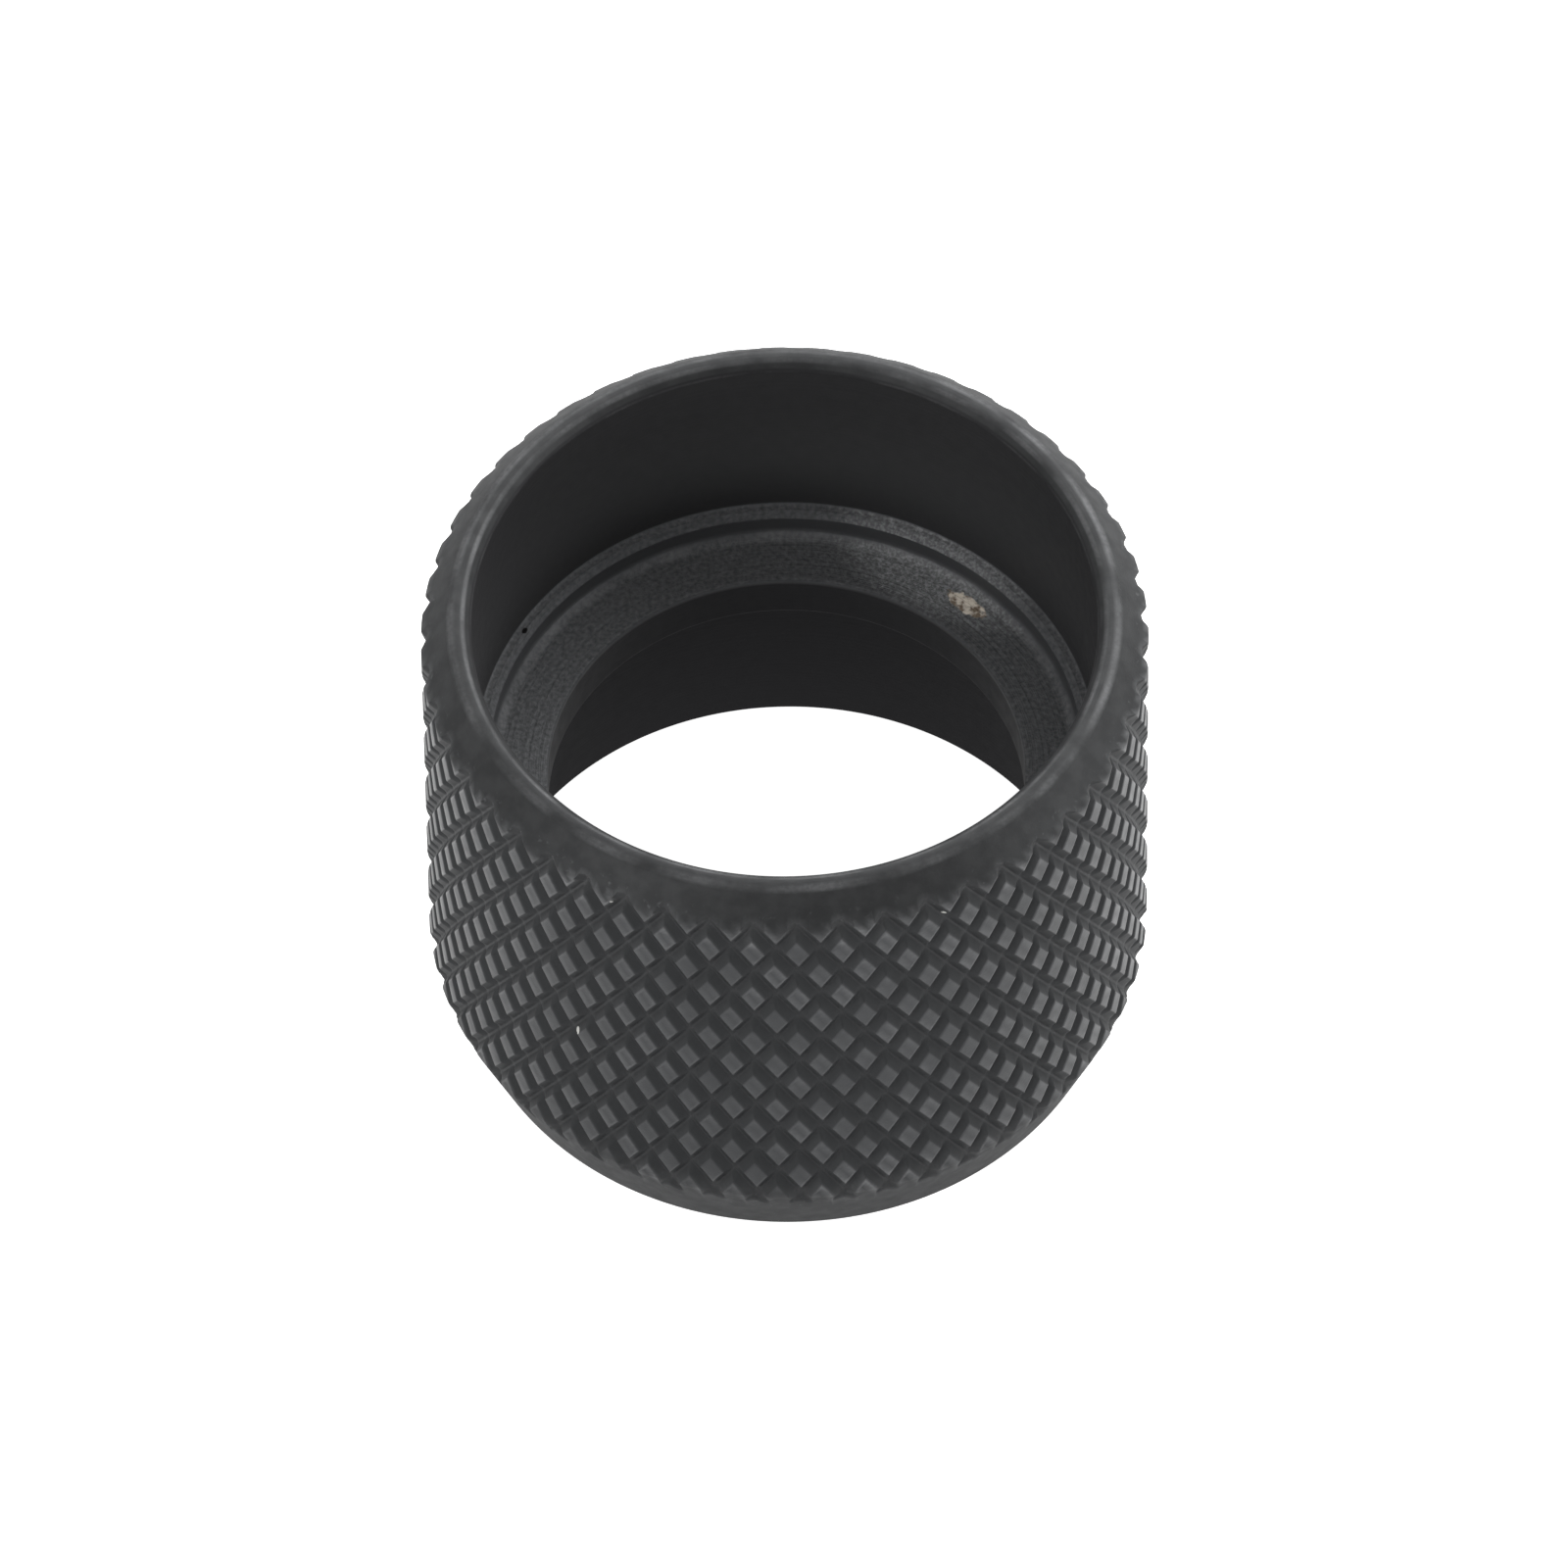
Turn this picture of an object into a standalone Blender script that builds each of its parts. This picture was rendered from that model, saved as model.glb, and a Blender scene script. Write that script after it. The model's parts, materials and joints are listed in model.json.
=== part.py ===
"""Knurled steel sleeve of a quick-change drill chuck, standing on its tapered end.

The sleeve is one turned piece: a thin wall with a diamond knurl rolled into its outside,
open at both ends, with a lip inside. A washer ledge and a spring seat are cut in the lip's
upper side. Lengths are in metres, +Z is up, and the origin is the centre of the bottom face.
"""

from math import cos, pi, radians, sin, tan

import bmesh
import bpy

MM = 0.001

# Outside
OUTER_DIAMETER = 22.5 * MM         # over the flats of the knurl
HEIGHT = 18.0 * MM
TOP_CHAMFER_WIDTH = 0.9 * MM       # how far the chamfer comes in at the upper rim
TOP_CHAMFER_HEIGHT = 1.1 * MM
TAPER_WIDTH = 1.05 * MM            # the long taper at the lower end
TAPER_HEIGHT = 2.8 * MM

# Knurl
KNURL_PITCH = 1.2 * MM             # from groove to groove, square to the grooves
KNURL_ANGLE = radians(30)          # nominal angle between a groove and the sleeve's axis
KNURL_DEPTH = 0.25 * MM
FLAT_SHARE = 0.5                   # share of the pitch that stays flat between two grooves
KNURL_TURN = radians(1.4)          # turns the first column of diamonds off the front

# Inside, from the top down
WALL = 1.575 * MM                  # from the flats of the knurl to the upper bore
UPPER_BORE_DEPTH = 7.15 * MM       # rim to washer ledge
WASHER_LEDGE_WIDTH = 0.45 * MM
SPRING_SEAT_DEPTH = 0.98 * MM      # washer ledge to spring seat
LIP_WIDTH = 2.25 * MM              # how far the lip stands in from the upper bore
LIP_THICKNESS = 1.67 * MM
LOWER_WALL = 1.575 * MM            # from the flats of the knurl to the lower bore

# Edges and corners
BORE_CHAMFER_WIDTH = 0.25 * MM
BORE_CHAMFER_DEPTH = 0.3 * MM
LEDGE_CHAMFER = 0.2 * MM
LEDGE_FILLET = 0.12 * MM
SEAT_FILLET = 0.35 * MM
LOWER_FILLET = 0.35 * MM
EDGE_BREAK = 0.1 * MM
FILLET_STEPS = 3

MERGE_DISTANCE = 0.002 * MM


class Knurl:
    """Sizes of the diamond pattern, with whole diamonds round the sleeve and along it."""

    def __init__(self):
        self.radius = OUTER_DIAMETER / 2
        self.root_radius = self.radius - KNURL_DEPTH
        self.top = HEIGHT - TOP_CHAMFER_HEIGHT
        self.bottom = TAPER_HEIGHT
        around = pi * OUTER_DIAMETER * cos(KNURL_ANGLE) / KNURL_PITCH
        self.columns = round(around)
        axial_pitch = pi * OUTER_DIAMETER / self.columns / tan(KNURL_ANGLE)
        self.rows = max(1, round((self.top - self.bottom) / axial_pitch))
        self.half_steps = 2 * self.columns
        self.levels = 2 * self.rows
        self.level_height = (self.top - self.bottom) / self.levels

    def angle(self, step):
        """Angle round the sleeve, from -Y towards +X, of a place counted in half diamonds."""
        return KNURL_TURN + step * pi / self.columns

    def height(self, level):
        """Height of a level, counted in half diamonds down from the top chamfer."""
        return self.top - level * self.level_height


def empty_scene():
    for thing in list(bpy.data.objects):
        bpy.data.objects.remove(thing, do_unlink=True)


def new_collection(name):
    collection = bpy.data.collections.new(name)
    bpy.context.scene.collection.children.link(collection)
    return collection


def black_oxide_steel():
    """Satin black finish of oil-blackened steel."""
    material = bpy.data.materials.new("black_oxide_steel")
    material.use_nodes = True
    shader = material.node_tree.nodes["Principled BSDF"]
    shader.inputs["Base Color"].default_value = (0.050, 0.052, 0.056, 1.0)
    shader.inputs["Metallic"].default_value = 0.85
    shader.inputs["Roughness"].default_value = 0.42
    material.diffuse_color = (0.050, 0.052, 0.056, 1.0)
    return material


def polar_vertex(mesh, radius, angle, height):
    return mesh.verts.new((radius * sin(angle), -radius * cos(angle), height))


def fillet(corner_radius, corner_height, size):
    """Points of a concave fillet, from the wall above the corner to the floor inside it."""
    centre_radius = corner_radius - size
    centre_height = corner_height + size
    turns = [step * pi / 2 / FILLET_STEPS for step in range(FILLET_STEPS + 1)]
    return [(centre_radius + size * cos(turn), centre_height - size * sin(turn)) for turn in turns]


def inner_profile():
    """Radius and height of each corner, from the rim's outer edge down to the foot's."""
    outer = OUTER_DIAMETER / 2
    bore = outer - WALL
    recess = bore - WASHER_LEDGE_WIDTH
    lip = bore - LIP_WIDTH
    lower_bore = outer - LOWER_WALL
    ledge = HEIGHT - UPPER_BORE_DEPTH
    seat = ledge - SPRING_SEAT_DEPTH
    underside = seat - LIP_THICKNESS

    rim = [
        (outer - TOP_CHAMFER_WIDTH, HEIGHT),
        (bore + BORE_CHAMFER_WIDTH, HEIGHT),
        (bore, HEIGHT - BORE_CHAMFER_DEPTH),
    ]
    washer_ledge = fillet(bore, ledge, LEDGE_FILLET) + [
        (recess + LEDGE_CHAMFER, ledge),
        (recess, ledge - LEDGE_CHAMFER),
    ]
    spring_seat = fillet(recess, seat, SEAT_FILLET)
    lip_land = [
        (lip + EDGE_BREAK, seat),
        (lip, seat - EDGE_BREAK),
        (lip, underside + EDGE_BREAK),
        (lip + EDGE_BREAK, underside),
    ]
    # The lower corner is the upper kind turned over.
    lower_corner = [
        (radius, 2 * underside - height)
        for radius, height in reversed(fillet(lower_bore, underside, LOWER_FILLET))
    ]
    foot = [
        (lower_bore, EDGE_BREAK),
        (lower_bore + EDGE_BREAK, 0.0),
        (outer - TAPER_WIDTH, 0.0),
    ]
    return rim + washer_ledge + spring_seat + lip_land + lower_corner + foot


def turn_inside(mesh, knurl, profile):
    """Spins the inner profile once round the axis, with a ring vertex at every groove crossing."""
    points = [polar_vertex(mesh, radius, knurl.angle(0), height) for radius, height in profile]
    lines = [mesh.edges.new(pair) for pair in zip(points, points[1:])]
    bmesh.ops.spin(
        mesh, geom=points + lines, cent=(0, 0, 0), axis=(0, 0, 1),
        angle=2 * pi, steps=knurl.columns, use_merge=True, use_duplicate=False,
    )


def roll_knurl(mesh, knurl):
    """Makes the diamonds: a flat on each, and four slopes down to the groove crossings."""
    around = knurl.half_steps

    def at(radius, step, level):
        return polar_vertex(mesh, radius, knurl.angle(step), knurl.height(level))

    crossings = {}
    corners = {}
    for level in range(knurl.levels + 1):
        for step in range(around):
            if (level + step) % 2 == 0:
                crossings[level, step] = at(knurl.root_radius, step, level)
                continue
            flat = {
                "left": at(knurl.radius, step - FLAT_SHARE, level),
                "right": at(knurl.radius, step + FLAT_SHARE, level),
            }
            if level > 0:
                flat["up"] = at(knurl.radius, step, level - FLAT_SHARE)
            if level < knurl.levels:
                flat["down"] = at(knurl.radius, step, level + FLAT_SHARE)
            corners[level, step] = flat

    for (level, step), flat in corners.items():
        left = crossings[level, (step - 1) % around]
        right = crossings[level, (step + 1) % around]
        mesh.faces.new([flat[side] for side in ("up", "left", "down", "right") if side in flat])
        for side, towards in (("up", level - 1), ("down", level + 1)):
            if side in flat:
                end = crossings[towards, step]
                mesh.faces.new([left, flat["left"], flat[side], end])
                mesh.faces.new([right, end, flat[side], flat["right"]])
    return crossings, corners


def run_out(mesh, knurl, crossings, corners, level, end_radius, end_height):
    """Ends the grooves on a chamfer that runs from the knurl's last level to a plain circle."""
    around = knurl.half_steps
    edge_height = knurl.height(level)
    slope = (end_height - edge_height) / (knurl.radius - end_radius)
    tip_height = edge_height + KNURL_DEPTH * slope
    tips = {}
    circle = {}
    for step in range(0, around, 2):
        tips[step] = polar_vertex(mesh, knurl.root_radius, knurl.angle(step), tip_height)
        circle[step] = polar_vertex(mesh, end_radius, knurl.angle(step), end_height)
    for step in range(1, around, 2):
        before = step - 1
        after = (step + 1) % around
        flat = corners[level, step]
        mesh.faces.new([crossings[level, before], flat["left"], tips[before]])
        mesh.faces.new([crossings[level, after], tips[after], flat["right"]])
        mesh.faces.new([tips[before], flat["left"], flat["right"], tips[after]])
        mesh.faces.new([tips[before], tips[after], circle[after], circle[before]])


def knurled_sleeve(collection):
    knurl = Knurl()
    profile = inner_profile()
    mesh = bmesh.new()
    crossings, corners = roll_knurl(mesh, knurl)
    run_out(mesh, knurl, crossings, corners, 0, *profile[0])
    run_out(mesh, knurl, crossings, corners, knurl.levels, *profile[-1])
    turn_inside(mesh, knurl, profile)
    bmesh.ops.remove_doubles(mesh, verts=mesh.verts, dist=MERGE_DISTANCE)
    bmesh.ops.recalc_face_normals(mesh, faces=mesh.faces)

    data = bpy.data.meshes.new("knurled_sleeve")
    mesh.to_mesh(data)
    mesh.free()
    data.shade_smooth()
    data.set_sharp_from_angle(angle=radians(15))
    data.materials.append(black_oxide_steel())
    sleeve = bpy.data.objects.new("knurled_sleeve", data)
    collection.objects.link(sleeve)
    return sleeve


def main():
    empty_scene()
    knurled_sleeve(new_collection("drill_chuck_sleeve"))


main()
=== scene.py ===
"""The look of a knurled, blackened steel sleeve from a drill chuck, built round its CAD frame."""

import json
from math import cos, pi, radians, sin, sqrt, tan

import bpy
import numpy as np
from mathutils import Matrix, Vector


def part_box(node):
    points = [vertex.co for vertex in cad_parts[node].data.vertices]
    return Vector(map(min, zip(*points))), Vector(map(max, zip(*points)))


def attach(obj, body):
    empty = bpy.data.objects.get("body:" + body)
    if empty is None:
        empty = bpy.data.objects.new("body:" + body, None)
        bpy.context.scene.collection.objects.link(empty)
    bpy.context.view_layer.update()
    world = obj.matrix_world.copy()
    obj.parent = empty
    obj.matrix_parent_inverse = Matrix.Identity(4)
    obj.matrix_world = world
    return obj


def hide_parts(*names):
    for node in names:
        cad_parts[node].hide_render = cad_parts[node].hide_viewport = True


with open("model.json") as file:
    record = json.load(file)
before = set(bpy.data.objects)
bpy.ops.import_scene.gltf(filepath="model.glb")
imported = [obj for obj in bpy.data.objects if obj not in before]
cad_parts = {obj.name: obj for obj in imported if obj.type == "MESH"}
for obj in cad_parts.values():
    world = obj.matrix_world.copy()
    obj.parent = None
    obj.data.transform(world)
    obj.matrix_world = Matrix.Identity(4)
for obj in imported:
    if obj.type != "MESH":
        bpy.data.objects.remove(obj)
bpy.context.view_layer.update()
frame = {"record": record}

MM = 0.001
NODE = "knurled_sleeve"
SLOT = "black_oxide_steel"

# Sizes the CAD solid gives
low_corner, high_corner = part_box(NODE)
OUTER_RADIUS = (high_corner[0] - low_corner[0]) / 2
HEIGHT = high_corner[2]


def mount_height(name):
    return next(mount["pos_m"][2] for mount in frame["record"]["mounts"] if mount["name"] == name)


LEDGE = mount_height("washer_ledge")
SEAT = mount_height("spring_seat")
UNDERSIDE = mount_height("lip_underside")

# Outside
TOP_CHAMFER_WIDTH = 0.9 * MM
TOP_CHAMFER_HEIGHT = 1.1 * MM
TAPER_WIDTH = 1.05 * MM
TAPER_HEIGHT = 2.8 * MM

# Knurl
KNURL_PITCH = 1.2 * MM
KNURL_ANGLE = radians(30)
KNURL_DEPTH = 0.25 * MM
KNURL_TURN = radians(1.4)
GROOVE_HALVES = (0.225, 0.27)   # half a groove's width for each hand, as a share of the pitch
EDGE_ROUND = 0.0225             # how far the flats' edges are rounded, in the same measure
ROOT_ROUNDS = (0.04, 0.07)      # radius of each hand's groove roots, in the same measure
ROOT_CUT = 0.05                 # where the mesh has an edge beside a root
DEPTH_SHARES = (0.94, 1.0)      # each hand's share of the knurl's depth
RUN_OUT_ROWS = 4                # rows of faces in each groove's run-out on a chamfer
RUN_OUT_SAMPLES = 400           # places tried when looking for a run-out's end
SHORTEST_RUN_OUT = 0.01 * MM

# How bright the worn edges and the painted highlights on them are, from 0 to 1
FLAT_WEAR = 0.3                 # round the knurl's flats
END_FLAT_WEAR_AND_HIGHLIGHT = 0.6             # wear and a painted highlight round the half diamonds at the knurl's two ends
ROOT_HIGHLIGHT = 0.22                # painted highlight in the groove roots, at the sleeve's left and right
BURR_WEAR_AND_HIGHLIGHT = 0.25                # wear and a painted highlight at the run-outs' ends

# Inside
BORE = OUTER_RADIUS - 1.575 * MM
RECESS = BORE - 0.45 * MM
LIP = BORE - 2.25 * MM
BORE_CHAMFER_WIDTH = 0.25 * MM
BORE_CHAMFER_DEPTH = 0.3 * MM
LEDGE_CHAMFER = 0.2 * MM
EDGE_BREAK = 0.1 * MM

# Places across one diamond, from groove to groove, where the mesh has an edge
HALF_CUTS = [0.0, ROOT_CUT] + sorted({
    round(half + side * EDGE_ROUND, 6) for half in GROOVE_HALVES for side in (-1, 1)
})
CUTS = HALF_CUTS + [0.5] + [1.0 - cut for cut in reversed(HALF_CUTS)]
CELL = len(CUTS) - 1

COLUMNS = round(2 * pi * OUTER_RADIUS * cos(KNURL_ANGLE) / KNURL_PITCH)
KNURL_TOP = HEIGHT - TOP_CHAMFER_HEIGHT
KNURL_BOTTOM = TAPER_HEIGHT
AXIAL_PITCH = 2 * pi * OUTER_RADIUS / COLUMNS / tan(KNURL_ANGLE)
ROWS = round((KNURL_TOP - KNURL_BOTTOM) / AXIAL_PITCH)
LEVELS = 2 * ROWS
LEVEL_HEIGHT = (KNURL_TOP - KNURL_BOTTOM) / LEVELS


def groove_depth(across, hand):
    """Depth under the flats at a distance from one hand's groove, in pitches."""
    root = ROOT_ROUNDS[hand]
    away = np.abs(across - np.round(across))
    half = sqrt(GROOVE_HALVES[hand] ** 2 + root ** 2)
    inside = half - np.sqrt(away ** 2 + root ** 2)
    blend = np.clip(inside + EDGE_ROUND, 0.0, 2 * EDGE_ROUND) ** 2 / (4 * EDGE_ROUND)
    shape = np.where(inside > EDGE_ROUND, inside, blend)
    return KNURL_DEPTH * DEPTH_SHARES[hand] * shape / (half - root)


def knurl_depth(step, level):
    """Depth of the pattern at a place counted in half diamonds round and down the sleeve."""
    return np.maximum(groove_depth((step + level) / 2, 0), groove_depth((step - level) / 2, 1))


def crease(column, row):
    """Which diagonal of a face inside a diamond follows the groove walls best: 0 for neither."""
    def depth(down, up):
        return float(knurl_depth(down + up, down - up))

    near, far = depth(CUTS[column], CUTS[row]), depth(CUTS[column + 1], CUTS[row + 1])
    low, high = depth(CUTS[column + 1], CUTS[row]), depth(CUTS[column], CUTS[row + 1])
    middle = depth((CUTS[column] + CUTS[column + 1]) / 2, (CUTS[row] + CUTS[row + 1]) / 2)
    if abs(near + far - low - high) < 0.01 * KNURL_DEPTH:
        return 0
    return 1 if abs((near + far) / 2 - middle) < abs((low + high) / 2 - middle) else 2


def step_angle(step):
    return KNURL_TURN + step * pi / COLUMNS


def angle_step(angle):
    return (angle - KNURL_TURN) * COLUMNS / pi


def knurl_wear_and_highlight(step, level, depth, in_roots):
    """Wear on the flats' edges, and a painted highlight in the roots. in_roots says whether each
    hand's root is here.
    """
    edge = max(0.0, 1.0 - depth / (0.15 * KNURL_DEPTH)) if depth > 0 else 0.0
    at_end = min(level, LEVELS - level) < 0.6
    wear_and_highlight = edge * (END_FLAT_WEAR_AND_HIGHLIGHT if at_end else FLAT_WEAR)
    for in_root, side in zip(in_roots, (-1, 1)):
        if in_root:
            # Painted highlight: one hand's roots grow brighter towards the sleeve's left, the
            # other's towards its right
            wear_and_highlight = max(wear_and_highlight, ROOT_HIGHLIGHT * side * sin(step_angle(step)))
    return wear_and_highlight


class Skin:
    """Vertices and faces of the sleeve, gathered before they go into one mesh.

    along is the distance along the section's outline, the wear value is how bright a worn edge and
    its painted highlight are, and turned is whether the surface was left by the lathe and not by
    the knurling wheel.
    """

    def __init__(self):
        self.radii = []
        self.angles = []
        self.heights = []
        self.along = []
        self.wear_and_highlight = []
        self.turned = []
        self.faces = []

    def add(self, radius, angle, height, along, wear_and_highlight=0.0, turned=True):
        self.radii.append(radius)
        self.angles.append(angle)
        self.heights.append(height)
        self.along.append(along)
        self.wear_and_highlight.append(wear_and_highlight)
        self.turned.append(turned)
        return len(self.radii) - 1


def roll_knurl(skin, top_along):
    """The diamonds between the two chamfers, on a grid that follows both hands of groove."""
    around = 2 * CELL * COLUMNS
    folds = [[crease(column, row) for row in range(CELL)] for column in range(CELL)]
    made = {}

    def place(first, second):
        """Vertex where the two hands' grid lines cross, once round the sleeve."""
        turns = (first + second) // around
        key = (first - turns * CELL * COLUMNS, second - turns * CELL * COLUMNS)
        if key not in made:
            down = key[0] // CELL + CUTS[key[0] % CELL]
            up = key[1] // CELL + CUTS[key[1] % CELL]
            step, level = down + up, down - up
            depth = float(knurl_depth(step, level))
            height = KNURL_TOP - level * LEVEL_HEIGHT
            wear_and_highlight = knurl_wear_and_highlight(step, level, depth, [grid % CELL == 0 for grid in key])
            made[key] = skin.add(
                OUTER_RADIUS - depth, step_angle(step), height, top_along - (KNURL_TOP - height),
                wear_and_highlight, turned=False,
            )
        return made[key]

    span = CELL * LEVELS
    for second in range(CELL * COLUMNS):
        for down in range(span + 1):
            first = second + down
            near = place(first, second)
            far = place(first + 1, second + 1)
            if down == 0:
                skin.faces.append((near, place(first + 1, second), far))
                continue
            if down == span:
                skin.faces.append((near, far, place(first, second + 1)))
                continue
            low = place(first + 1, second)
            high = place(first, second + 1)
            fold = folds[first % CELL][second % CELL]
            if fold == 1:
                skin.faces += [(near, low, far), (near, far, high)]
            elif fold == 2:
                skin.faces += [(near, low, high), (low, far, high)]
            else:
                skin.faces.append((near, low, far, high))
    top_edge = [place(turn, turn) for turn in range(CELL * COLUMNS)]
    bottom_edge = [place(turn + span // 2, turn - span // 2) for turn in range(CELL * COLUMNS)]
    return top_edge, bottom_edge


def run_out_height(angle, edge, slope):
    """How far a groove runs on over a chamfer that starts at the knurl's edge and falls away."""
    step = angle_step(angle)
    reach = np.linspace(0.0, 1.02, RUN_OUT_SAMPLES) * KNURL_DEPTH / slope
    level = (KNURL_TOP - edge) / LEVEL_HEIGHT
    way = 1.0 if level > 1 else -1.0
    depth = knurl_depth(step, level + way * reach / LEVEL_HEIGHT)
    deeper = np.nonzero(depth > reach * slope + 0.002 * KNURL_DEPTH)[0]
    return float(reach[deeper[-1]]) if len(deeper) else 0.0


def join_rings(skin, upper, lower):
    """Faces between two rings of vertices, where a vertex that both share makes a triangle."""
    count = len(upper)
    for turn in range(count):
        after = (turn + 1) % count
        corners = [upper[turn], lower[turn], lower[after], upper[after]]
        face = list(dict.fromkeys(corners))
        if len(face) > 2:
            skin.faces.append(tuple(face))


def run_out(skin, ring, edge, way, width, height, end, end_along):
    """Carries the grooves out over a chamfer, then the plain chamfer on to its end circle.

    way is 1 for the chamfer at the rim, which goes up from edge, and -1 for the one at the foot.
    """
    slope = width / height
    angles = [skin.angles[vertex] for vertex in ring]
    reaches = [run_out_height(angle, edge, slope) for angle in angles]
    level_edge = (KNURL_TOP - edge) / LEVEL_HEIGHT
    start_along = skin.along[ring[0]]

    rings = [ring]
    for row in range(1, RUN_OUT_ROWS + 1):
        share = row / RUN_OUT_ROWS
        fresh = []
        for vertex, angle, reach in zip(ring, angles, reaches):
            if reach < SHORTEST_RUN_OUT:
                fresh.append(vertex)
                continue
            out = reach * share
            level = level_edge - way * out / LEVEL_HEIGHT
            depth = max(float(knurl_depth(angle_step(angle), level)), out * slope)
            wear_and_highlight = BURR_WEAR_AND_HIGHLIGHT if row == RUN_OUT_ROWS else 0.0
            fresh.append(skin.add(
                OUTER_RADIUS - depth, angle, edge + way * out, start_along - way * out, wear_and_highlight,
                turned=False,
            ))
        rings.append(fresh)
    end_radius, end_height = end
    for share in (0.25, 0.5, 0.75):
        fresh = []
        for angle, reach in zip(angles, reaches):
            start_height = edge + way * reach
            place = start_height + (end_height - start_height) * share
            radius = OUTER_RADIUS - abs(place - edge) * slope
            along = start_along + (end_along - start_along) * share
            fresh.append(skin.add(radius, angle, place, along))
        rings.append(fresh)
    rings.append([skin.add(end_radius, angle, end_height, end_along) for angle in angles])
    for before, after in zip(rings, rings[1:]):
        join_rings(skin, *((after, before) if way > 0 else (before, after)))
    return rings[-1]


def rounded(corners):
    """Points along an outline whose corners are rounded: (radius, height, rounding, wear and
    painted highlight).
    """
    points = []
    for before, corner, after in zip(corners, corners[1:], corners[2:]):
        here = Vector(corner[:2])
        back = (Vector(before[:2]) - here).normalized()
        on = (Vector(after[:2]) - here).normalized()
        turn = back.angle(on)
        reach = corner[2] / tan(turn / 2)
        centre = here + (back + on).normalized() * (corner[2] / sin(turn / 2))
        start = here + back * reach - centre
        sweep = pi - turn
        if back.cross(on) < 0:
            sweep = -sweep
        steps = max(2, round(abs(sweep) / radians(20)))
        for count in range(steps + 1):
            angle = -sweep * count / steps
            spoke = Vector((
                start.x * cos(angle) - start.y * sin(angle),
                start.x * sin(angle) + start.y * cos(angle),
            ))
            worn_and_highlight = corner[3] if 0 < count < steps else 0.0
            points.append((*(centre + spoke), worn_and_highlight))
    return points


def inside_outline():
    """Rim, bore, ledge, recess, seat, lip, lower bore and foot, with a small round on each edge."""
    fine, small, wide = 0.04 * MM, 0.12 * MM, 0.35 * MM
    return rounded([
        # radius, height, rounding, wear and painted highlight
        (OUTER_RADIUS, KNURL_TOP, 0.0, 0.0),
        # The rim's edges get wear and a painted highlight along them
        (OUTER_RADIUS - TOP_CHAMFER_WIDTH, HEIGHT, 0.4 * MM, 0.45),
        (BORE + BORE_CHAMFER_WIDTH, HEIGHT, 0.25 * MM, 0.4),
        (BORE, HEIGHT - BORE_CHAMFER_DEPTH, 0.2 * MM, 0.3),
        (BORE, LEDGE, small, 0.0),
        (RECESS + LEDGE_CHAMFER, LEDGE, fine, 0.5),
        (RECESS, LEDGE - LEDGE_CHAMFER, fine, 0.2),
        (RECESS, SEAT, wide, 0.55),
        (LIP, SEAT, 0.1 * MM, 0.15),
        (LIP, UNDERSIDE, small, 0.1),
        (BORE, UNDERSIDE, wide, 0.0),
        (BORE, EDGE_BREAK, fine, 0.3),
        (BORE + EDGE_BREAK, 0.0, fine, 0.3),
        (OUTER_RADIUS - TAPER_WIDTH, 0.0, 0.08 * MM, 0.6),
        (OUTER_RADIUS, KNURL_BOTTOM, 0.0, 0.0),
    ])


def path_lengths(outline):
    """Distance along an outline from its first point to each of its points."""
    lengths = [0.0]
    for before, after in zip(outline, outline[1:]):
        lengths.append(lengths[-1] + (Vector(after[:2]) - Vector(before[:2])).length)
    return lengths


def gather_skin():
    """The whole sleeve. Each vertex knows how far along the section's outline it lies."""
    outline = inside_outline()
    lengths = path_lengths(outline)
    rim_end, foot_end = Vector(outline[0][:2]), Vector(outline[-1][:2])
    chamfer = (rim_end - Vector((OUTER_RADIUS, KNURL_TOP))).length
    taper = (foot_end - Vector((OUTER_RADIUS, KNURL_BOTTOM))).length
    girth = lengths[-1] + taper + (KNURL_TOP - KNURL_BOTTOM) + chamfer

    skin = Skin()
    top_ring, bottom_ring = roll_knurl(skin, girth - chamfer)
    rim = run_out(
        skin, top_ring, KNURL_TOP, 1, TOP_CHAMFER_WIDTH, TOP_CHAMFER_HEIGHT, rim_end, girth,
    )
    foot = run_out(
        skin, bottom_ring, KNURL_BOTTOM, -1, TAPER_WIDTH, TAPER_HEIGHT, foot_end, lengths[-1],
    )
    angles = [skin.angles[vertex] for vertex in rim]
    rings = [rim]
    for (radius, height, wear_and_highlight), length in list(zip(outline, lengths))[1:-1]:
        rings.append([skin.add(radius, angle, height, length, wear_and_highlight) for angle in angles])
    rings.append(foot)
    for before, after in zip(rings, rings[1:]):
        join_rings(skin, after, before)
    return skin, girth


def unwrap(mesh, angles, along, girth):
    """Lays the skin out flat: round the sleeve across the map, and along its section up it."""
    corners = np.empty(len(mesh.loops), dtype=np.int32)
    mesh.loops.foreach_get("vertex_index", corners)
    across = (np.array(angles)[corners] / (2 * pi)) % 1.0
    up = (np.array(along)[corners] / girth) % 1.0
    starts = np.empty(len(mesh.polygons), dtype=np.int32)
    mesh.polygons.foreach_get("loop_start", starts)
    sizes = np.diff(np.append(starts, len(corners)))
    for values in (across, up):
        highest = np.repeat(np.maximum.reduceat(values, starts), sizes)
        values += np.where(highest - values > 0.5, 1.0, 0.0)
    layer = mesh.uv_layers.new(name="OFBake")
    margin = 0.005
    flat = np.stack([across, up], axis=1) * (1 - 3 * margin) + margin
    layer.data.foreach_set("uv", flat.ravel().astype(np.float32))


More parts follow.
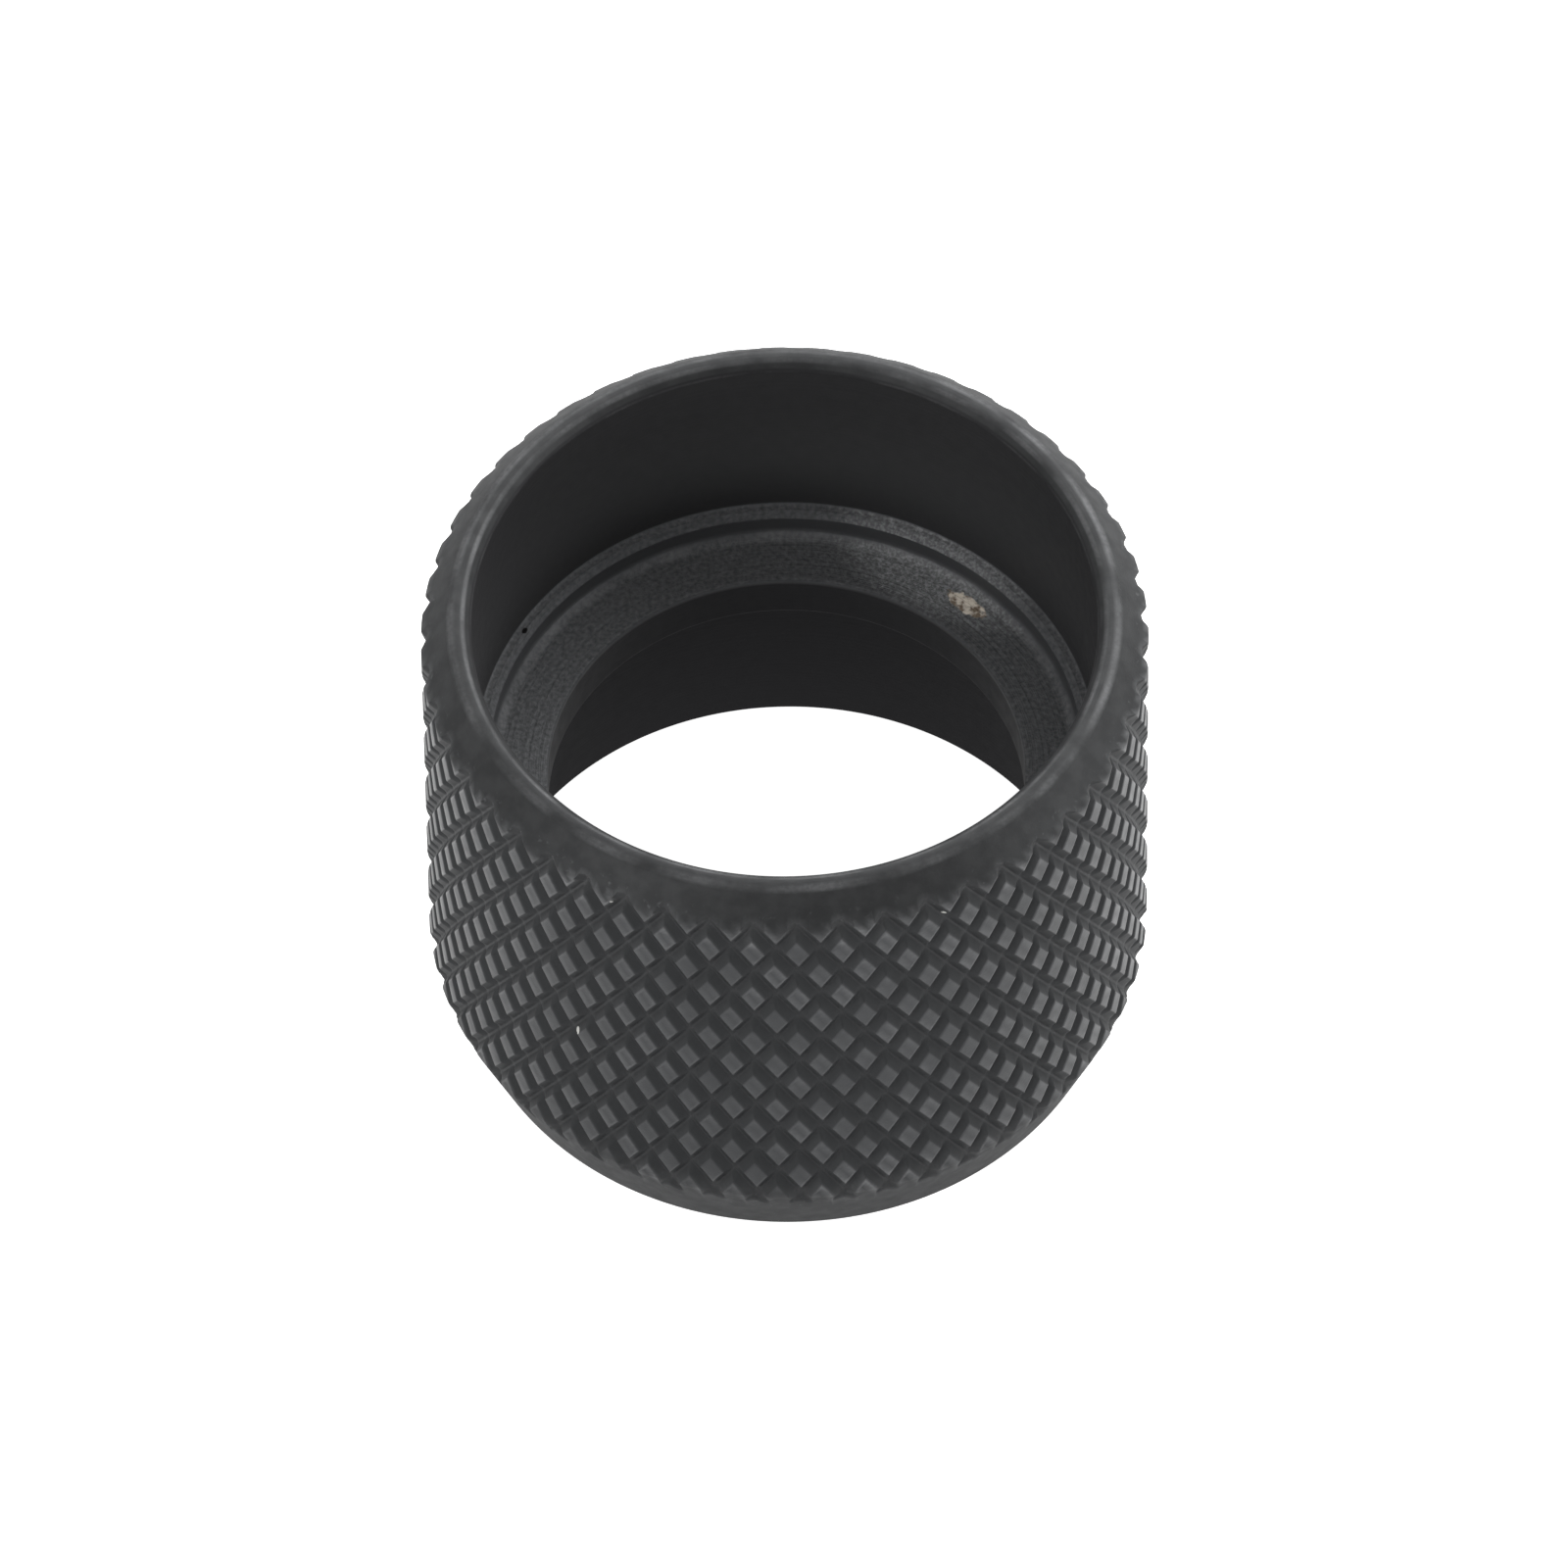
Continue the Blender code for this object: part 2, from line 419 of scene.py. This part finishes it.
def smooth_normals(points, angles, skin):
    """Normals weighted by face area, and with no sideways lean on the turned surfaces."""
    normals = np.zeros_like(points)
    for size in (3, 4):
        faces = np.array([face for face in skin.faces if len(face) == size])
        corners = points[faces]
        areas = np.cross(corners[:, 2] - corners[:, 0], corners[:, size - 1] - corners[:, 1])
        for place in range(size):
            np.add.at(normals, faces[:, place], areas)
    sideways = np.stack([np.cos(angles), np.sin(angles), np.zeros_like(angles)], axis=1)
    lean = np.sum(normals * sideways, axis=1) * np.array(skin.turned)
    normals -= lean[:, None] * sideways
    return normals / np.linalg.norm(normals, axis=1, keepdims=True)


def knurled_sleeve():
    skin, girth = gather_skin()
    radii, angles = np.array(skin.radii), np.array(skin.angles)
    points = np.stack([radii * np.sin(angles), -radii * np.cos(angles), skin.heights], axis=1)
    mesh = bpy.data.meshes.new("sleeve")
    mesh.from_pydata(points.tolist(), [], skin.faces)
    mesh.validate()
    wear_and_highlight = mesh.attributes.new("wear_and_highlight", "FLOAT", "POINT")
    wear_and_highlight.data.foreach_set("value", np.array(skin.wear_and_highlight, dtype=np.float32))
    along = mesh.attributes.new("along", "FLOAT", "POINT")
    along.data.foreach_set("value", np.array(skin.along, dtype=np.float32) / MM)
    unwrap(mesh, angles, skin.along, girth)
    mesh.shade_smooth()
    mesh.normals_split_custom_set_from_vertices(smooth_normals(points, angles, skin).tolist())
    sleeve = bpy.data.objects.new("sleeve", mesh)
    bpy.context.scene.collection.objects.link(sleeve)
    return sleeve


class Tree:
    """Short calls for adding shader nodes and joining them."""

    def __init__(self, name):
        self.material = bpy.data.materials.new(name)
        self.material.use_nodes = True
        self.nodes = self.material.node_tree.nodes
        self.links = self.material.node_tree.links
        self.shader = self.nodes["Principled BSDF"]

    def put(self, socket, value):
        if isinstance(value, bpy.types.NodeSocket):
            self.links.new(value, socket)
        else:
            socket.default_value = value

    def add(self, kind, inputs=(), **settings):
        node = self.nodes.new(kind)
        for name, value in settings.items():
            setattr(node, name, value)
        for name, value in dict(inputs).items():
            self.put(node.inputs[name], value)
        return node

    def math(self, operation, first, second=0.0, clamp=False):
        node = self.add("ShaderNodeMath", operation=operation, use_clamp=clamp)
        self.put(node.inputs[0], first)
        self.put(node.inputs[1], second)
        return node.outputs[0]

    def ramp(self, value, low, high, start=0.0, end=1.0):
        """start below low, end above high, and a smooth change between them."""
        node = self.add("ShaderNodeMapRange", interpolation_type="SMOOTHSTEP")
        for name, given in zip(("Value", "From Min", "From Max", "To Min", "To Max"),
                               (value, low, high, start, end)):
            self.put(node.inputs[name], given)
        return node.outputs["Result"]

    def noise(self, place, scale, detail=2.0, dimensions="3D"):
        socket = "W" if dimensions == "1D" else "Vector"
        node = self.add(
            "ShaderNodeTexNoise", {socket: place, "Scale": scale, "Detail": detail},
            noise_dimensions=dimensions,
        )
        return node.outputs["Fac"]

    def mix(self, share, first, second):
        node = self.add("ShaderNodeMix", data_type="RGBA")
        self.put(node.inputs["Factor"], share)
        self.put(node.inputs[6], first)
        self.put(node.inputs[7], second)
        return node.outputs[2]


# Colours
OXIDE_DARK = (0.034, 0.0346, 0.0355, 1)
OXIDE_LIGHT = (0.043, 0.0438, 0.0448, 1)
CHAMFER_FLECK = (0.078, 0.079, 0.081, 1)
GROOVE = (0.033, 0.034, 0.0352, 1)
FLAT = (0.041, 0.0422, 0.044, 1)
BORE_PAINTED_LIGHT_BY_LEDGE = (0.053, 0.0534, 0.0552, 1)
BORE_BY_RIM = (0.0312, 0.0311, 0.0324, 1)
UNDER_SEAT_PAINTED_SHADE = (0.0225, 0.0224, 0.0238, 1)
POCKET_PAINTED_LIGHT = (0.080, 0.082, 0.086, 1)
SEAT_DARK = (0.064, 0.0655, 0.068, 1)
SEAT_LIGHT = (0.12, 0.1225, 0.126, 1)
WORN_AND_HIGHLIGHT = (0.165, 0.167, 0.171, 1)
SEAT_GLINT = (0.34, 0.345, 0.35, 1)
CHIP_DARK = (0.22, 0.17, 0.13, 1)
CHIP_LIGHT = (0.75, 0.68, 0.58, 1)
PIT = (0.01, 0.01, 0.01, 1)
DUST = (0.42, 0.42, 0.4, 1)

# Angle round the sleeve in degrees, height and size in millimetres
DUST_SPECKS = (
    (25.4, 16.1, 0.2), (-36, 8.8, 0.2), (-29, 16.7, 0.14), (-51.5, 9.3, 0.14), (8, 13.4, 0.1),
)


def spot(tree, place, ragged, centre, length, width, soft=0.25):
    """1 inside a ragged patch on the surface, 0 outside.

    centre is an angle in degrees, a radius and a height. All lengths are in millimetres.
    """
    angle, radius, height = centre
    turn = radians(angle)
    away = tree.add("ShaderNodeVectorMath", operation="SUBTRACT")
    tree.put(away.inputs[0], place)
    tree.put(away.inputs[1], (radius * sin(turn), -radius * cos(turn), height))
    far = ragged
    for way, size in (
        ((cos(turn), sin(turn), 0.0), length), ((sin(turn), -cos(turn), 0.0), width),
        ((0.0, 0.0, 1.0), width),
    ):
        dot = tree.add("ShaderNodeVectorMath", operation="DOT_PRODUCT")
        tree.put(dot.inputs[0], away.outputs[0])
        tree.put(dot.inputs[1], way)
        share = tree.math("DIVIDE", dot.outputs["Value"], size / 2)
        far = tree.math("ADD", far, tree.math("MULTIPLY", share, share))
    return tree.ramp(far, 0.95 - soft, 0.95 + soft, 1.0, 0.0)


class Where:
    """Places on the sleeve in millimetres, and masks that are 1 on a part of it and 0 elsewhere."""

    def __init__(self, tree):
        coordinates = tree.add("ShaderNodeTexCoord")
        scaled = tree.add("ShaderNodeVectorMath", operation="SCALE")
        tree.put(scaled.inputs[0], coordinates.outputs["Object"])
        scaled.inputs["Scale"].default_value = 1 / MM
        self.place = scaled.outputs[0]
        parts = tree.add("ShaderNodeSeparateXYZ", {"Vector": self.place})
        self.height = parts.outputs["Z"]
        flat = tree.add(
            "ShaderNodeCombineXYZ", {"X": parts.outputs["X"], "Y": parts.outputs["Y"]},
        )
        length = tree.add("ShaderNodeVectorMath", operation="LENGTH")
        tree.put(length.inputs[0], flat.outputs[0])
        self.radius = length.outputs["Value"]
        normal = tree.add("ShaderNodeSeparateXYZ", {"Vector": coordinates.outputs["Normal"]})
        upward = normal.outputs["Z"]

        # The knurl, which fades out over its last row of diamonds at each end
        self.outside = self.band(tree, self.radius, OUTER_RADIUS, -2.0, -1.2, KNURL_DEPTH)
        below_top = tree.ramp(self.height, KNURL_TOP / MM - 0.9, KNURL_TOP / MM, 1.0, 0.15)
        above_foot = tree.ramp(self.height, KNURL_BOTTOM / MM, KNURL_BOTTOM / MM + 0.7, 0.15, 1.0)
        ends = tree.math("MULTIPLY", below_top, above_foot)
        self.knurled = tree.math("MULTIPLY", self.outside, ends)
        self.chamfered = tree.math("SUBTRACT", self.outside, self.knurled, clamp=True)
        self.turned = tree.math("SUBTRACT", 1.0, self.outside)
        self.flats = self.band(tree, self.radius, OUTER_RADIUS, -0.14, -0.03, KNURL_DEPTH)
        self.burnished = tree.math("MULTIPLY", self.knurled, self.flats)
        not_flat = tree.math("SUBTRACT", 1.0, self.flats)
        self.grooves = tree.math("MULTIPLY", self.knurled, not_flat)

        # The inside: the pocket lies between the ledge and the lip, and faces up at the seat
        self.inside = tree.ramp(self.radius, BORE / MM + 0.05, BORE / MM + 0.1, 1.0, 0.0)
        under_ledge = tree.ramp(self.height, LEDGE / MM + 0.03, LEDGE / MM + 0.12, 1.0, 0.0)
        over_lip = tree.ramp(self.height, SEAT / MM - 0.15, SEAT / MM - 0.05)
        between = tree.math("MULTIPLY", under_ledge, over_lip)
        self.pocket = tree.math("MULTIPLY", self.inside, between)
        self.seat = tree.math("MULTIPLY", self.pocket, tree.ramp(upward, 0.35, 0.9))
        self.bores = tree.math("SUBTRACT", self.inside, self.pocket, clamp=True)
        self.under_seat = tree.ramp(self.height, SEAT / MM - 0.25, SEAT / MM - 0.1, 1.0, 0.0)

    @staticmethod
    def band(tree, value, base, low, high, unit):
        """0 to 1 as value, in millimetres, goes from low to high units past base, in metres."""
        return tree.ramp(value, (base + low * unit) / MM, (base + high * unit) / MM)


def oxide_colour(tree, where, speckle, wear_and_highlight):
    """Dark mottled oxide, burnished on the flats, with a bore paler towards the ledge, a pocket and
    seat paler as painted light, darker under the seat as painted shade, and bright on worn edges
    with painted highlights.
    """
    place = where.place
    mottle = tree.ramp(tree.noise(place, 1.6, 6.0), 0.3, 0.7)
    colour = tree.mix(mottle, OXIDE_DARK, OXIDE_LIGHT)
    # Painted light: the bore is paler down by the ledge, deep in its shade, and darker up by the
    # rim
    up_the_bore = tree.ramp(where.height, LEDGE / MM, LEDGE / MM + 6.0)
    bore = tree.mix(up_the_bore, BORE_PAINTED_LIGHT_BY_LEDGE, BORE_BY_RIM)
    # Painted shade: the lip and the bore under the seat are darkened
    bore = tree.mix(where.under_seat, bore, UNDER_SEAT_PAINTED_SHADE)
    colour = tree.mix(where.bores, colour, bore)
    fleck = tree.ramp(tree.noise(place, 5.0, 4.0), 0.6, 0.8)
    colour = tree.mix(tree.math("MULTIPLY", fleck, where.chamfered), colour, CHAMFER_FLECK)
    colour = tree.mix(where.grooves, colour, GROOVE)
    # Painted light: the pocket between the ledge and the lip is made paler, lifting it out of its
    # shade
    colour = tree.mix(where.pocket, colour, POCKET_PAINTED_LIGHT)
    colour = tree.mix(where.burnished, colour, FLAT)
    # The seat's speckle is the turned face's grain; its overall pale tone is painted light that
    # makes up for the shade deep in the pocket
    colour = tree.mix(where.seat, colour, tree.mix(speckle, SEAT_DARK, SEAT_LIGHT))
    grainy = tree.math("ADD", 0.5, tree.math("MULTIPLY", speckle, 0.5))
    # Worn edges turn bright, partly as bare steel and partly as a painted highlight
    colour = tree.mix(tree.math("MULTIPLY", wear_and_highlight, grainy), colour, WORN_AND_HIGHLIGHT)
    return marked(tree, where, colour)


def marked(tree, where, colour):
    """Adds a painted highlight and the chip on the seat, the pit on the ledge, and the dust."""
    place = where.place
    uneven = tree.math("SUBTRACT", tree.noise(place, 6.0, 3.0), 0.5)
    ragged = tree.math("MULTIPLY", uneven, 1.8)
    # Painted highlight: a bright flecked patch on the seat near 148 degrees, standing in for the
    # glint of its turned rings
    seat_glint = spot(tree, place, ragged, (148, 8.9, 10.2), 6.4, 2.6, soft=0.8)
    flecks = tree.ramp(tree.noise(place, 11.0, 3.0), 0.4, 0.65, 0.2, 0.7)
    seat_glint = tree.math("MULTIPLY", seat_glint, tree.math("MULTIPLY", where.seat, flecks))
    colour = tree.mix(seat_glint, colour, SEAT_GLINT)
    chip = spot(tree, place, ragged, (138.5, 8.55, SEAT / MM), 1.5, 0.6)
    brassy = tree.mix(tree.ramp(tree.noise(place, 4.0, 2.0), 0.4, 0.6), CHIP_DARK, CHIP_LIGHT)
    colour = tree.mix(chip, colour, brassy)
    pit = spot(tree, place, ragged, (-121, 9.45, LEDGE / MM), 0.26, 0.16)
    colour = tree.mix(pit, colour, PIT)
    for angle, height, size in DUST_SPECKS:
        centre = (angle, OUTER_RADIUS / MM - 0.1, height)
        colour = tree.mix(spot(tree, place, ragged, centre, size, size * 1.5), colour, DUST)
    return colour


def black_oxide():
    """Blackened steel: satin, mottled, with turned rings, a coarse seat, bright worn edges and
    painted highlights.
    """
    tree = Tree(SLOT)
    shader = tree.shader
    where = Where(tree)
    place, seat = where.place, where.seat
    speckle = tree.ramp(tree.noise(place, 7.0, 5.0), 0.2, 0.8)
    worn_and_highlight = tree.add("ShaderNodeAttribute", attribute_name="wear_and_highlight").outputs["Fac"]
    patchy = tree.ramp(tree.noise(place, 0.5, 6.0), 0.3, 0.7)
    wear_and_highlight = tree.math("MULTIPLY", worn_and_highlight, patchy, clamp=True)
    tree.put(shader.inputs["Base Color"], oxide_colour(tree, where, speckle, wear_and_highlight))

    # A thin oxide on steel shines a little like metal, and bare burnished steel much more
    # Painted shade: less metallic shine on the lip and below it dims the glowing floor's reflection
    # there
    lip_and_below = tree.math("MULTIPLY", where.inside, where.under_seat)
    metal = tree.math("ADD", 0.27, tree.math("MULTIPLY", where.burnished, 0.65))
    metal = tree.math("SUBTRACT", metal, tree.math("MULTIPLY", seat, 0.15))
    metal = tree.math("SUBTRACT", metal, tree.math("MULTIPLY", lip_and_below, 0.07))
    tree.put(shader.inputs["Metallic"], metal)
    shader.inputs["Specular IOR Level"].default_value = 0.0
    shader.inputs["Specular Tint"].default_value = (0.92, 0.92, 0.92, 1)

    rough = tree.ramp(tree.noise(place, 2.3, 3.0), 0.25, 0.75, 0.38, 0.46)
    rough = tree.math("ADD", rough, tree.math("MULTIPLY", seat, 0.1))
    rough = tree.math("SUBTRACT", rough, tree.math("MULTIPLY", wear_and_highlight, 0.08))
    tree.put(shader.inputs["Roughness"], rough)

    # Relief: rings left by the lathe, deeper on the seat, a fine grain, and the seat's pits
    along = tree.add("ShaderNodeAttribute", attribute_name="along").outputs["Fac"]
    rings = tree.math("MULTIPLY", tree.noise(along, 9.0, 4.0, "1D"), where.turned)
    ring_height = tree.math("ADD", 0.4, tree.math("MULTIPLY", seat, 2.6))
    grain = tree.math("MULTIPLY", tree.noise(place, 14.0, 3.0), 0.4)
    pits = tree.math("MULTIPLY", tree.math("MULTIPLY", tree.noise(place, 7.0, 3.0), seat), 4.0)
    relief = tree.math("ADD", tree.math("MULTIPLY", rings, ring_height), grain)
    relief = tree.math("ADD", relief, pits)
    bump = tree.add("ShaderNodeBump", {"Height": relief, "Strength": 0.5, "Distance": 0.02 * MM})
    tree.put(shader.inputs["Normal"], bump.outputs[0])
    return tree.material


def pale_floor():
    """A white floor that glows, as a sheet under bright light does."""
    tree = Tree("pale_floor")
    tree.shader.inputs["Base Color"].default_value = (0.5, 0.5, 0.5, 1)
    tree.shader.inputs["Roughness"].default_value = 0.7
    tree.shader.inputs["Emission Color"].default_value = (1, 1, 1, 1)
    tree.shader.inputs["Emission Strength"].default_value = 1.0
    return tree.material


def floor():
    bpy.ops.mesh.primitive_plane_add(size=1.5, location=(0, 0, -0.02 * MM))
    plane = bpy.context.object
    plane.name = "floor"
    plane.data.materials.append(pale_floor())


# Azimuth and elevation in degrees, and watts. Azimuth 0 is in front, on -Y, and 90 is on +X.
SOFT_BOXES = {
    "back_box": (180, 35, 1.7),
    "back_right_box": (135, 35, 2.0),
    "right_box": (82, 25, 0.9),
    "left_box": (-110, 30, 0.5),
    "front_left_box": (-45, 25, 0.93),
    "high_front_box": (0, 66, 0.4),
}
SOFT_BOX_DISTANCE = 0.4
SOFT_BOX_SIZE = 0.3


def soft_light(name, azimuth, elevation, power):
    """A square soft box that faces the sleeve."""
    aim = Vector((0, 0, HEIGHT / 2))
    turn, rise = radians(azimuth), radians(elevation)
    away = Vector((sin(turn) * cos(rise), -cos(turn) * cos(rise), sin(rise)))
    lamp = bpy.data.lights.new(name, "AREA")
    lamp.shape = "SQUARE"
    lamp.size = SOFT_BOX_SIZE
    lamp.energy = power
    light = bpy.data.objects.new(name, lamp)
    light.location = aim + away * SOFT_BOX_DISTANCE
    light.rotation_euler = (-away).to_track_quat("-Z", "Y").to_euler()
    bpy.context.scene.collection.objects.link(light)


def studio():
    """The soft boxes and the floor give all the light, so the world gives none."""
    world = bpy.data.worlds.new("studio")
    world.use_nodes = True
    world.node_tree.nodes["Background"].inputs["Strength"].default_value = 0.0
    bpy.context.scene.world = world
    bpy.context.scene.view_settings.view_transform = "Standard"
    for name, (azimuth, elevation, power) in SOFT_BOXES.items():
        soft_light(name, azimuth, elevation, power)


def camera():
    """Long lens from 53.5 degrees above, aimed a little below the rim."""
    elevation, pitch, roll = radians(53.54), radians(53.906), radians(-0.724)
    distance = 71.93 * OUTER_RADIUS
    to_the_left = 0.078 * MM
    lens = bpy.data.cameras.new("camera")
    lens.sensor_width = 36.0
    lens.lens = 601.9
    lens.clip_start = 0.01
    lens.clip_end = 20.0
    ahead = Vector((0, cos(pitch), -sin(pitch)))
    right = Vector((1, 0, 0))
    up = right.cross(ahead)
    leaning_right = cos(roll) * right + sin(roll) * up
    leaning_up = cos(roll) * up - sin(roll) * right
    turn = Matrix((leaning_right, leaning_up, -ahead)).transposed().to_4x4()
    rim_centre = Vector((0, 0, HEIGHT))
    place = rim_centre + distance * Vector((0, -cos(elevation), sin(elevation)))
    place.x -= to_the_left
    view = bpy.data.objects.new("camera", lens)
    view.matrix_world = Matrix.Translation(place) @ turn
    bpy.context.scene.collection.objects.link(view)
    bpy.context.scene.camera = view


sleeve = knurled_sleeve()
sleeve.data.materials.append(black_oxide())
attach(sleeve, "root")
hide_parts(NODE)
floor()
studio()
camera()
